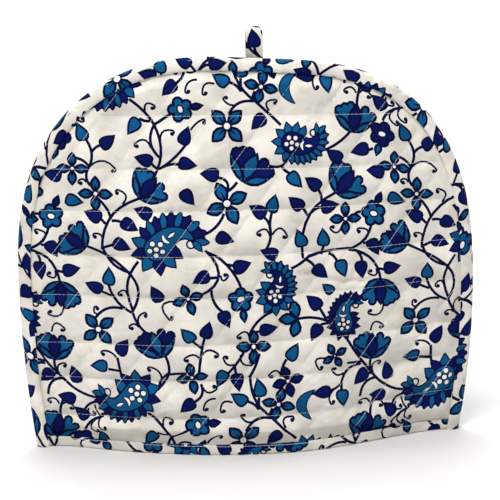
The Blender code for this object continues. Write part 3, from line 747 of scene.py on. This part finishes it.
def boundary_of(triangles):
    """The rim of a triangulated pattern as one loop of point numbers."""
    sides = np.concatenate([triangles[:, (0, 1)], triangles[:, (1, 2)], triangles[:, (2, 0)]])
    known = set(map(tuple, sides.tolist()))
    following = {a: b for a, b in known if (b, a) not in known}
    loop = [min(following)]
    while following[loop[-1]] != loop[0]:
        loop.append(following[loop[-1]])
    return loop


def surface_normals(place, flat):
    """Unit normals of a placed pattern, from how its place changes over 0.3 mm along and up."""
    step = 0.0003
    along = place(flat + (step, 0)) - place(flat - (step, 0))
    up = place(flat + (0, step)) - place(flat - (0, step))
    normals = np.cross(along, up)
    return normals / (np.linalg.norm(normals, axis=1, keepdims=True) + 1e-12)


def linear(red, green, blue):
    """A colour as the eye reads it, 0 to 255, in the linear values that a shader takes."""
    part = np.array((red, green, blue)) / 255
    return np.where(part > 0.04045, ((part + 0.055) / 1.055) ** 2.4, part / 12.92)


DYE_COLOURS = np.array([linear(223, 219, 212), linear(2, 7, 54), linear(4, 17, 84), linear(10, 82, 130),
                        linear(232, 231, 228)])
PLAIN_COTTON = linear(216, 210, 200)
THREAD_PITCH = 0.00052   # two threads of the weave


class Socket:
    """A shader socket that can be added, subtracted and multiplied. make() adds any other node."""

    def __init__(self, tree, socket=None):
        self.tree, self.socket = tree, socket

    def make(self, kind, settings=(), sockets=(), out=0):
        node = self.tree.nodes.new(kind)
        for name, value in dict(settings).items():
            setattr(node, name, value)
        for name, value in dict(sockets).items():
            if isinstance(value, Socket):
                self.tree.links.new(value.socket, node.inputs[name])
            else:
                node.inputs[name].default_value = value
        return Socket(self.tree, node.outputs[out])

    def maths(self, operation, *others):
        return self.make("ShaderNodeMath", {"operation": operation}, enumerate((self, *others)))

    def __add__(self, other):
        return self.maths("ADD", other)

    def __mul__(self, other):
        return self.maths("MULTIPLY", other)

    def __sub__(self, other):
        return self.maths("SUBTRACT", other)

    def __rsub__(self, other):
        return self * -1.0 + other

    __radd__, __rmul__ = __add__, __mul__


def new_material(name):
    """An empty node material: its Principled node, and a socket to build the rest from."""
    material = bpy.data.materials.new(name)
    material.use_nodes = True
    return material, material.node_tree.nodes["Principled BSDF"], Socket(material.node_tree)


def printed_cotton():
    """Plain-woven cotton, dyed by the print attribute: threads over and under, slubs, a soft nap."""
    material, surface, start = new_material("printed_cotton")
    cloth = start.make("ShaderNodeUVMap", {"uv_map": "Cloth"})
    parts = cloth.make("ShaderNodeSeparateXYZ", (), {0: cloth})
    across, up = parts, Socket(start.tree, parts.socket.node.outputs[1])
    thread = 2 * np.pi / THREAD_PITCH
    weave = (across * thread).maths("SINE") * (up * thread).maths("SINE")
    slub_along = start.make("ShaderNodeMapping", (), {"Vector": cloth, "Scale": (260.0, 2600.0, 1.0)})
    slub_up = start.make("ShaderNodeMapping", (), {"Vector": cloth, "Scale": (2600.0, 260.0, 1.0)})
    slubs = sum(start.make("ShaderNodeTexNoise", (), {"Vector": way, "Scale": 1.0, "Detail": 2.0})
                for way in (slub_along, slub_up))
    cloud = start.make("ShaderNodeTexNoise", (), {"Vector": cloth, "Scale": 38.0, "Detail": 4.0})
    warmth = start.make("ShaderNodeTexNoise", (), {"Vector": cloth, "Scale": 55.0, "Detail": 3.0})
    fine = start.make("ShaderNodeTexNoise", (), {"Vector": cloth, "Scale": 900.0, "Detail": 2.0})
    tone = 0.46 + weave * 0.03 + slubs * 0.06 + cloud * 0.84 + fine * 0.10
    tint = start.make("ShaderNodeCombineColor", (), {0: tone, 1: tone * (1.03 - warmth * 0.06),
                                                      2: tone * (1.10 - warmth * 0.21)})
    print_colour = start.make("ShaderNodeAttribute", {"attribute_name": "print"})
    colour = start.make("ShaderNodeVectorMath", {"operation": "MULTIPLY"}, {0: print_colour, 1: tint})
    rough = 0.80 + slubs * 0.06 + fine * 0.08
    crumple = start.make("ShaderNodeTexNoise", (), {"Vector": cloth, "Scale": 150.0, "Detail": 3.0})
    folds = start.make("ShaderNodeTexNoise", (), {"Vector": cloth, "Scale": 42.0, "Detail": 2.0,
                                                  "Distortion": 1.2})
    folds = (folds - 0.5).maths("ABSOLUTE")
    height = weave * 0.5 + slubs * 0.9 + fine * 0.6 + crumple * 4.0 + folds * 22.0
    bump = start.make("ShaderNodeBump", (), {"Strength": 0.7, "Distance": 0.00022, "Height": height})
    for name, value in (("Base Color", colour), ("Roughness", rough), ("Normal", bump)):
        start.tree.links.new(value.socket, surface.inputs[name])
    surface.inputs["Sheen Weight"].default_value = 0.015
    surface.inputs["Sheen Roughness"].default_value = 0.6
    surface.inputs["Specular IOR Level"].default_value = 0.05
    return material


def cloth_piece(name, rim, points, edges, layers, outside, inside, back_points):
    """A closed piece of cloth: a printed face over the pattern, a plain one behind it, and its rim.

    Its second map spreads the printed face over most of a square and the plain one over the rest.
    """
    flat, triangles = triangles_of(rim, points, edges, layers)
    dyes = dyes_of(flat, triangles, layers)
    loop = boundary_of(triangles)
    back_flat, back_triangles = triangles_of(flat[loop], back_points, np.zeros((0, 2), int), [])
    count, sides = len(flat), len(loop)
    here, ahead = np.array(loop), np.roll(loop, -1)
    behind = count + np.arange(sides)
    rim_quads = np.stack([ahead, here, behind, np.roll(behind, -1)], axis=1)
    rim_triangles = np.concatenate([rim_quads[:, (0, 1, 2)], rim_quads[:, (0, 2, 3)]])
    faces = np.concatenate([triangles, back_triangles[:, ::-1] + count, rim_triangles])
    both = np.concatenate([flat, back_flat])
    mesh = bpy.data.meshes.new(name)
    mesh.from_pydata(np.concatenate([outside(flat), inside(back_flat)]).tolist(), [], faces.tolist())
    colours = np.ones((len(faces), 3, 4))
    colours[:, :, :3] = PLAIN_COTTON
    colours[:len(triangles), :, :3] = DYE_COLOURS[dyes][:, None]
    mesh.color_attributes.new("print", "FLOAT_COLOR", "CORNER").data.foreach_set("color", colours.ravel())
    mesh.uv_layers.new(name="Cloth").data.foreach_set("uv", both[faces].ravel())
    share = (both - flat.min(axis=0)) / np.ptp(flat, axis=0) * 0.996 + 0.002
    spread = (share * (1.0, 0.84))[faces]
    plain = slice(len(triangles), len(triangles) + len(back_triangles))
    spread[plain] = spread[plain] * (1.0, 0.15) + (0.0, 0.86)
    mesh.uv_layers.new(name="OFBake").data.foreach_set("uv", spread.ravel())
    mesh.shade_smooth()
    mesh.normals_split_custom_set_from_vertices(
        np.concatenate([surface_normals(outside, flat), -surface_normals(inside, back_flat)]).tolist())
    mesh.materials.append(PRINTED_COTTON)
    return added(name, mesh)


def stitching(name, rows, outside, stitch=0.0026, skip=0.0003, thread=0.00012):
    """Lock stitches along rows on the pattern: short threads that rise from the cloth and dip back.

    Each stitch is three rings of four points across its thread, closed at both ends.
    """
    starts, ends = [], []
    for row in rows:
        far = lengths_along(row)
        stops = np.arange(0.0, far[-1] - stitch, stitch + skip)
        starts.append(points_at(row, far, stops))
        ends.append(points_at(row, far, stops + stitch))
    starts, ends = np.concatenate(starts), np.concatenate(ends)
    share = np.array((0.0, 0.5, 1.0))[:, None, None]
    flat = (starts + (ends - starts) * share).transpose(1, 0, 2)
    count = len(flat)
    place = outside(flat.reshape(-1, 2)).reshape(count, 3, 3)
    normal = surface_normals(outside, flat.reshape(-1, 2)).reshape(count, 3, 3)
    along = place[:, 2:] - place[:, :1]
    along /= np.linalg.norm(along, axis=2, keepdims=True)
    side = np.cross(normal, along)
    middle = place + normal * np.array((-0.3, 0.6, -0.3))[None, :, None] * thread
    ring = np.stack([middle + side * thread, middle + normal * thread,
                     middle - side * thread, middle - normal * thread], axis=2)
    base = (np.arange(count) * 12)[:, None]
    faces = [base + np.array((r * 4 + s, r * 4 + (s + 1) % 4, r * 4 + 4 + (s + 1) % 4, r * 4 + 4 + s))
             for r in range(2) for s in range(4)]
    faces += [base + np.array((3, 2, 1, 0)), base + np.array((8, 9, 10, 11))]
    mesh = bpy.data.meshes.new(name)
    mesh.from_pydata(ring.reshape(-1, 3).tolist(), [], np.concatenate(faces).tolist())
    mesh.shade_smooth()
    mesh.materials.append(SEWING_THREAD)
    return added(name, mesh)


def sewing_thread():
    """White cotton thread with a little unevenness."""
    material, surface, start = new_material("sewing_thread")
    place = start.make("ShaderNodeTexCoord", (), (), "Object")
    uneven = start.make("ShaderNodeTexNoise", (), {"Vector": place, "Scale": 900.0, "Detail": 2.0})
    white = start.make("ShaderNodeCombineColor", (), {0: 0.74 + uneven * 0.1, 1: 0.73 + uneven * 0.1,
                                                       2: 0.72 + uneven * 0.1})
    bump = start.make("ShaderNodeBump", (), {"Strength": 0.4, "Distance": 0.0001, "Height": uneven})
    for name, value in (("Base Color", white), ("Roughness", 0.6 + uneven * 0.2), ("Normal", bump)):
        start.tree.links.new(value.socket, surface.inputs[name])
    surface.inputs["Sheen Weight"].default_value = 0.1
    return material


VINE_PRINT = vine_print()
PRINTED_COTTON = printed_cotton()
SEWING_THREAD = sewing_thread()


def foot_row(z, inset, columns=41):
    """A level row of points from the left edge to the right one."""
    return np.stack([np.linspace(-1.0, 1.0, columns) * side_x(z, inset), np.full(columns, z)], axis=1)


def panel_rows():
    """The stitched rows inside the flange, as lines of points on the pattern."""
    rows = []
    x = np.linspace(-WIDTH / 2, WIDTH / 2, 400)
    for row in LEVEL_ROWS[1:-1]:
        rows.append(np.stack([x, row.height + row.rise * x * 2 / WIDTH], axis=1))
    z = np.linspace(0.0, HEIGHT, 350)
    for number in range(CLIMB_COUNT + 1):
        rows.append(np.stack([climbing_start(number) + z / CLIMB, z], axis=1))
    rows = [row[(edge_distance(*row.T) > FLANGE) & (row[:, 1] > LINING_ROW)] for row in rows]
    return [row for row in rows if len(row) > 20]


def make_panel(name, turn, shift):
    """One panel with its stitching. The back one is half a turn about the upright axis from the front.

    Its top gives way on the same side as the front's, so the two rims lie together in the binding.
    """
    def carried(flat, depth):
        x, z = flat.T
        z = z + top_drop(x, z) - top_drop(turn * x, z)
        return leaned(np.stack([turn * x, -turn * depth, z], axis=1))

    def outside(flat):
        return carried(flat, outer_depth(*flat.T))

    def inside(flat):
        return carried(flat, inner_depth(*flat.T))

    def on_panel(shape):
        moved = (shape + shift - CHART_MIDDLE) * STEP
        return drifted(moved + moved[:, ::-1] * (PRINT_LEAN, -PRINT_LEAN)) + (0.0, PRINT_MIDDLE)

    rim = np.concatenate([foot_row(PANEL_FOOT, PANEL_INSET), arch_curve(PANEL_INSET, HEM_ROW, 140)])
    lattice, stitched = quilt_lattice(CELL_STEPS)
    flange = np.concatenate([arch_curve(FLANGE + 0.0005, LINING_ROW, 160), foot_row(LINING_ROW, FLANGE),
                             foot_row(HEM_ROW, PANEL_INSET)[1:-1]])
    layers = print_over((-WIDTH / 2, 0.0), (WIDTH / 2, HEIGHT), on_panel)
    back_lattice, _ = quilt_lattice(BACKING_STEPS)
    points = np.concatenate([flange, lattice])
    cloth = cloth_piece(name + "_cloth", rim, points, stitched + len(flange), layers, outside, inside,
                        np.concatenate([flange[::2], back_lattice]))
    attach(cloth, "root")
    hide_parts(name)
    thread = stitching(name + "_quilting_thread", panel_rows(), outside)
    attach(thread, "root")


make_panel("front_panel", 1, np.array((0.0, 0.0)))
make_panel("back_panel", -1, BACK_PRINT)


# --- Arch binding ----------------------------------------------------------------------------------
# A strip of the same printed cotton, folded over the edges of both panels from one foot over the top
# to the other and sewn down in one seam. The seam allowances inside make it stand up like a cord.
BINDING_WIDTH = 0.0095
ROLL_HEIGHT = 0.0046
ROLL_DIP = 0.0009
ROLL_START, PRESS_END = 0.0030, 0.0015   # where ripples are whole, and how far the hems still thicken it
Ripple = namedtuple("Ripple", "depth turns drift wander")
ROLL_WAVES = [Ripple(0.00022, 610, 3, 47), Ripple(0.00025, 230, 2, 31)]
BINDING_CLOTH = 0.0008
HEM_HEIGHT = 0.0080
BINDING_PRINT = np.array((40.0, 236.0))
TURN = np.linspace(0.0, np.pi / 2, 40)
ROLL = np.stack([BINDING_WIDTH * (1 - np.cos(TURN)),
                 ROLL_HEIGHT * np.sin(TURN) - ROLL_DIP * (1 - np.cos(TURN)) ** 8], axis=1)
ROLL_FAR = lengths_along(ROLL)
ARCH_INSETS = np.linspace(0.0, BINDING_WIDTH, 12)
ARCH_GRID = np.stack([arch_curve(inset, 0.0, 700) for inset in ARCH_INSETS])[:, ::-1]   # from the left
ARCH_LENGTH = np.linalg.norm(np.diff(ARCH_GRID[0], axis=0), axis=1).sum()


def arch_place(flat):
    """The roll: half an ellipse each side of the fold, dipped at its seam, carried along the arch.

    Along the pattern runs the arch, from the left foot to the right one, and across it the way from
    the front seam over the fold to the back seam. It is thicker where it covers the hems.
    """
    inset, side = points_at(ROLL, ROLL_FAR, np.clip(np.abs(flat[:, 1]), 0.0, ROLL_FAR[-1])).T
    row = inset / BINDING_WIDTH * (len(ARCH_INSETS) - 1.001)
    column = np.clip(flat[:, 0] / ARCH_LENGTH, 0.0, 1.0) * (ARCH_GRID.shape[1] - 1.001)
    i, j = row.astype(int), column.astype(int)
    a, b = (row - i)[:, None], (column - j)[:, None]
    x, z = ((ARCH_GRID[i, j] * (1 - b) + ARCH_GRID[i, j + 1] * b) * (1 - a)
            + (ARCH_GRID[i + 1, j] * (1 - b) + ARCH_GRID[i + 1, j + 1] * b) * a).T
    over_hem = 1.0 - smooth((z - HEM_HEIGHT - PRESS_END) / PUFF_RUN)
    s = flat[:, 0]
    ripple = sum(w.depth * np.sin(s * w.turns + w.drift * np.sin(s * w.wander)) for w in ROLL_WAVES)
    side = side + (ripple + (GAP + CLOTH) * over_hem) * np.minimum(side / ROLL_START, 1.0)
    return leaned(np.stack([x, np.sign(flat[:, 1]) * side, z], axis=1))


def strip_rim(length, half, along, across):
    """The rim of a straight strip of cloth, and a grid of points inside it."""
    u, v = np.linspace(0, length, along + 1), np.linspace(-half, half, across + 1)
    rim = np.concatenate([np.stack([u, np.full_like(u, -half)], 1)[:-1],
                          np.stack([np.full_like(v, length), v], 1)[:-1],
                          np.stack([u, np.full_like(u, half)], 1)[:0:-1],
                          np.stack([np.zeros_like(v), v], 1)[:0:-1]])
    grid = np.stack(np.meshgrid(u[1:-1], v[1:-1], indexing="ij"), axis=2).reshape(-1, 2)
    return rim, grid


def make_strip(name, length, half, along, across, place, thickness, shift):
    """A printed strip of cloth of one thickness, carried to its place. Its corner is cut at shift."""
    rim, grid = strip_rim(length, half, along, across)
    layers = print_over((0.0, -half), (length, half), lambda shape: (shape - shift) * STEP)

    def inside(flat):
        inner = place(flat) - thickness * surface_normals(place, flat)
        return np.maximum(inner, (-1.0, -1.0, 0.0))

    return cloth_piece(name, rim, grid, np.zeros((0, 2), int), layers, place, inside, grid)


arch = make_strip("arch_binding_cloth", ARCH_LENGTH, ROLL_FAR[-1], along=260, across=18,
                  place=arch_place, thickness=BINDING_CLOTH, shift=BINDING_PRINT)
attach(arch, "root")
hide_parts("arch_binding")

# --- Hem bindings ----------------------------------------------------------------------------------
# Each panel's lower edge is covered by its own folded strip before the arch is bound. It stands on
# the table, and one row of top stitching holds it.
HemStop = namedtuple("HemStop", "layer z")
HEM_PROFILE = [HemStop(*row) for row in (
    (0.0001, 0.0079), (-0.0001, 0.0050), (0.0, 0.0016), (0.0004, 0.0004), (0.0011, 0.0), (0.0029, 0.0),
    (0.0036, 0.0004), (0.0041, 0.0016), (0.0043, 0.0045), (0.0041, 0.0070), (0.0037, 0.0079))]
HEM_LENGTH, HEM_CLOTH = 0.322, 0.0006
HEM_STITCH, HEM_STITCH_END = 0.0014, 0.012     # the top stitching, from the upper edge and the ends
HEM_CAP, HEM_CAP_RISE = 0.0040, 0.0005         # the farthest layer at the ends, and what is more inside


def hem_path():
    """The hem's profile as a smooth line with its length so far."""
    stops = np.array(HEM_PROFILE)
    rows = np.arange(len(stops))
    fine = np.linspace(0, rows[-1], 61)
    line = np.stack([np.interp(fine, rows, stops[:, 0]), np.interp(fine, rows, stops[:, 1])], axis=1)
    for _ in range(3):
        line[1:-1] = (line[:-2] + 2 * line[1:-1] + line[2:]) / 4
    line[:, 1] -= line[:, 1].min()
    return line, lengths_along(line)


HEM_LINE, HEM_FAR = hem_path()
HEM_HALF = HEM_FAR[-1] / 2


def hem_place(turn):
    """Where a hem's pattern lies: its profile carried along the panel's foot."""
    def place(flat):
        layer, z = points_at(HEM_LINE, HEM_FAR, flat[:, 1] + HEM_HALF).T
        x = (flat[:, 0] / HEM_LENGTH * 2 - 1) * side_x(z, PANEL_INSET)
        end = smooth((0.150 - np.abs(x)) / 0.01)
        ripple = 0.0002 * np.sin(x * 480 + 2 * np.sin(x * 60)) * (layer > 0.003) * end
        depth = HALF_GAP + bulge(x, z) + np.minimum(layer + ripple, HEM_CAP + HEM_CAP_RISE * end)
        return leaned(np.stack([turn * x, -turn * depth, z], axis=1))
    return place


for name, turn, cut in (("front_hem", 1, (30.0, 118.0)), ("back_hem", -1, (140.0, 20.0))):
    place = hem_place(turn)
    hem = make_strip(name + "_cloth", HEM_LENGTH, HEM_HALF, along=110, across=20, place=place,
                     thickness=HEM_CLOTH, shift=np.array(cut))
    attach(hem, "root")
    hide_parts(name + "_binding")
    2 * HEM_HALF
    line = np.linspace(HEM_STITCH_END, HEM_LENGTH - HEM_STITCH_END, 300)
    row = np.stack([line, np.full(len(line), HEM_HALF - HEM_STITCH)], axis=1)
    thread = stitching(name + "_top_stitching", [row], place)
    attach(thread, "root")

# --- Hanging loop ----------------------------------------------------------------------------------
# A narrow folded strip of the printed cotton, bent double with its hole across the cosy. Both ends are
# sewn flat on the back of the binding, a little right of the middle.
LOOP_X, LOOP_WIDTH, LOOP_CLOTH, LOOP_FOOT = 0.010, 0.0122, 0.0012, 0.0085
LOOP_FACE = 0.0009       # the printed layer of the folded strip
LOOP_BELL, LOOP_PINCH, LOOP_DROOP = 0.0040, 0.10, 0.0022
LOOP_SEWN, LOOP_PASSES = 9, 10     # points of a sewn end, which stay where they are, and smoothing passes
LoopStop = namedtuple("LoopStop", "height half")
LOOP_PROFILE = [LoopStop(*row) for row in (
    (-LOOP_FOOT, 0.00075), (-0.0010, 0.00075), (0.0030, 0.0016), (0.0075, 0.0031), (0.0130, 0.0036),
    (0.0175, 0.0033), (0.0205, 0.0020), (0.0216, 0.0))]


def loop_path():
    """The middle line of the bent strip, as y and z with its length so far."""
    stops = np.array(LOOP_PROFILE)
    rows = np.arange(len(stops))
    fine = np.linspace(0, rows[-1], 57)
    height, half = np.interp(fine, rows, stops[:, 0]), np.interp(fine, rows, stops[:, 1])
    path = np.concatenate([np.stack([-half, height], 1), np.stack([half, height], 1)[-2::-1]])
    ahead, behind = slice(LOOP_SEWN + 1, 1 - LOOP_SEWN), slice(LOOP_SEWN - 1, -LOOP_SEWN - 1)
    for _ in range(LOOP_PASSES):
        path[LOOP_SEWN:-LOOP_SEWN] = (path[behind] + 2 * path[LOOP_SEWN:-LOOP_SEWN] + path[ahead]) / 4
    middle_y = HALF_GAP + THIN + GAP + CLOTH + GAP + LOOP_CLOTH + GAP / 2
    arch_top = np.interp(LOOP_X, OUTLINE[::-1, 0], OUTLINE[::-1, 1])
    path += (middle_y + 0.0003, arch_top)
    return path, lengths_along(path)


LOOP_LINE, LOOP_FAR = loop_path()
LOOP_OUT = line_normals(LOOP_LINE)


def loop_place(flat):
    """The strip's outer face: its middle line moved out by half its thickness, its edges rounded off.

    At the bend it is pinched narrower and its corners droop, both falling off as a bell.
    """
    y, z = points_at(LOOP_LINE, LOOP_FAR, flat[:, 0]).T
    out_y, out_z = points_at(LOOP_OUT, LOOP_FAR, flat[:, 0]).T
    edge = np.abs(flat[:, 1] * 2 / LOOP_WIDTH)
    lift = LOOP_CLOTH / 2 * (1 - 0.4 * edge ** 6)
    pinch = np.exp(-((flat[:, 0] - LOOP_FAR[-1] / 2) / LOOP_BELL) ** 2)
    x = LOOP_X - flat[:, 1] * (1 - LOOP_PINCH * pinch)
    return np.stack([x, y + out_y * lift, z + out_z * lift - LOOP_DROOP * pinch * edge ** 4], axis=1)


loop = make_strip("hanging_loop_cloth", LOOP_FAR[-1], LOOP_WIDTH / 2, along=70, across=10,
                  place=loop_place, thickness=LOOP_FACE, shift=np.array((211.0, 222.0)))
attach(loop, "root")
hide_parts("hanging_loop")
